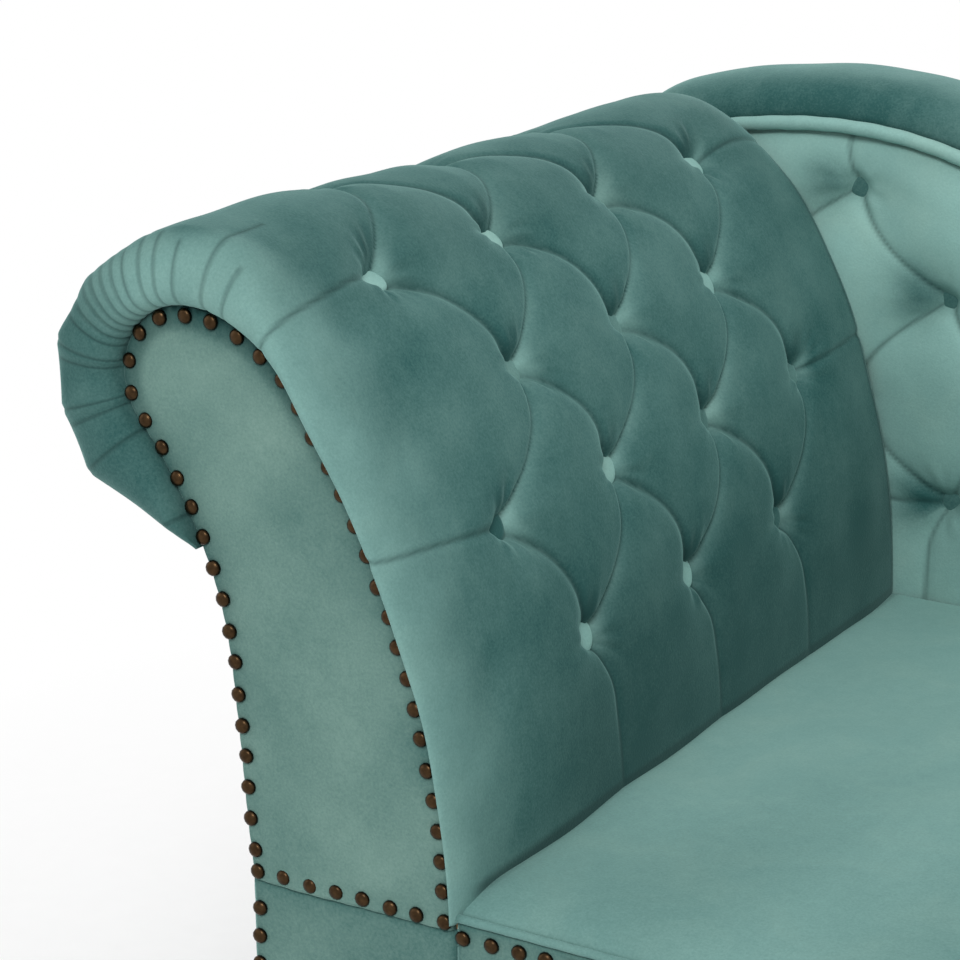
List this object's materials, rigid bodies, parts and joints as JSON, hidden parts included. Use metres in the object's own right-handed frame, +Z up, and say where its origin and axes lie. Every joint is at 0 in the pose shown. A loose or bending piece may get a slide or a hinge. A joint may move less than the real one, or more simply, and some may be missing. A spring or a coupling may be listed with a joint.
{
  "type": "chaise longue",
  "caption": "Upholstered chaise longue: a seat with one scrolled, deep-buttoned velvet arm and a buttoned back that sweeps down towards the foot, on turned legs.",
  "frame": {"origin": "on the floor, under the middle of the whole piece", "axes": "+X from the arm to the foot along the seat, +Y from the front to the back, +Z up"},
  "size_m": [1.5916, 0.7148, 0.7538],
  "materials": {
    "tufted_velvet": "cut pile velvet with a brushed nap",
    "plain_velvet": "cut pile velvet, smoothed",
    "piping_velvet": "bias cut velvet over cord",
    "button_velvet": "velvet over a button shell",
    "antique_nail": "antiqued, dark in the hollows",
    "turned_leg_wood": "dark stained and satin lacquered",
    "frame_beech": "planed, unfinished",
    "bent_ply": "thin ply, unfinished",
    "foam": "open cell upholstery foam",
    "jute_webbing": "coarse plain weave",
    "dust_cloth": "thin bonded cloth",
    "zinc_steel": "zinc plated",
    "glide_plastic": "matt moulded"
  },
  "bodies": {
    "root": {"front_rail": "frame_beech", "rear_rail": "frame_beech", "head_rail": "frame_beech", "foot_rail": "frame_beech", "head_cross_rail": "frame_beech", "foot_cross_rail": "frame_beech", "front_batten": "frame_beech", "head_batten": "frame_beech", "foot_batten": "frame_beech", "rear_batten": "frame_beech", "head_front_block": "frame_beech", "foot_front_block": "frame_beech", "foot_rear_block": "frame_beech", "head_rear_block": "frame_beech", "head_front_leg": "turned_leg_wood", "foot_front_leg": "turned_leg_wood", "foot_rear_leg": "turned_leg_wood", "head_rear_leg": "turned_leg_wood", "hanger_bolts": "zinc_steel", "leg_plates": "zinc_steel", "leg_glides": "glide_plastic", "dust_cover": "dust_cloth", "crosswise_webbing": "jute_webbing", "lengthwise_webbing": "jute_webbing", "seat_foam": "foam", "seat_cushion": "plain_velvet", "seat_welt": "piping_velvet", "front_border": "plain_velvet", "foot_border": "plain_velvet", "arm_base_panel": "plain_velvet", "front_nails": "antique_nail", "foot_nails": "antique_nail", "arm_front_board": "frame_beech", "arm_rear_board": "frame_beech", "arm_lower_rail": "frame_beech", "arm_top_rail": "frame_beech", "arm_outer_rail": "frame_beech", "arm_backing": "bent_ply", "arm_foam": "foam", "arm_front_panel": "plain_velvet", "arm_pad": "tufted_velvet", "arm_buttons": "button_velvet", "arm_nails": "antique_nail", "arm_outside_cover": "plain_velvet", "head_back_post": "frame_beech", "middle_back_post": "frame_beech", "foot_back_post": "frame_beech", "back_crest_board": "frame_beech", "back_foam": "foam", "back_sheet": "bent_ply", "back_pad": "tufted_velvet", "back_piping": "piping_velvet", "crest_roll": "tufted_velvet", "back_buttons": "button_velvet", "back_outside_cover": "plain_velvet"}
  },
  "joints": []
}
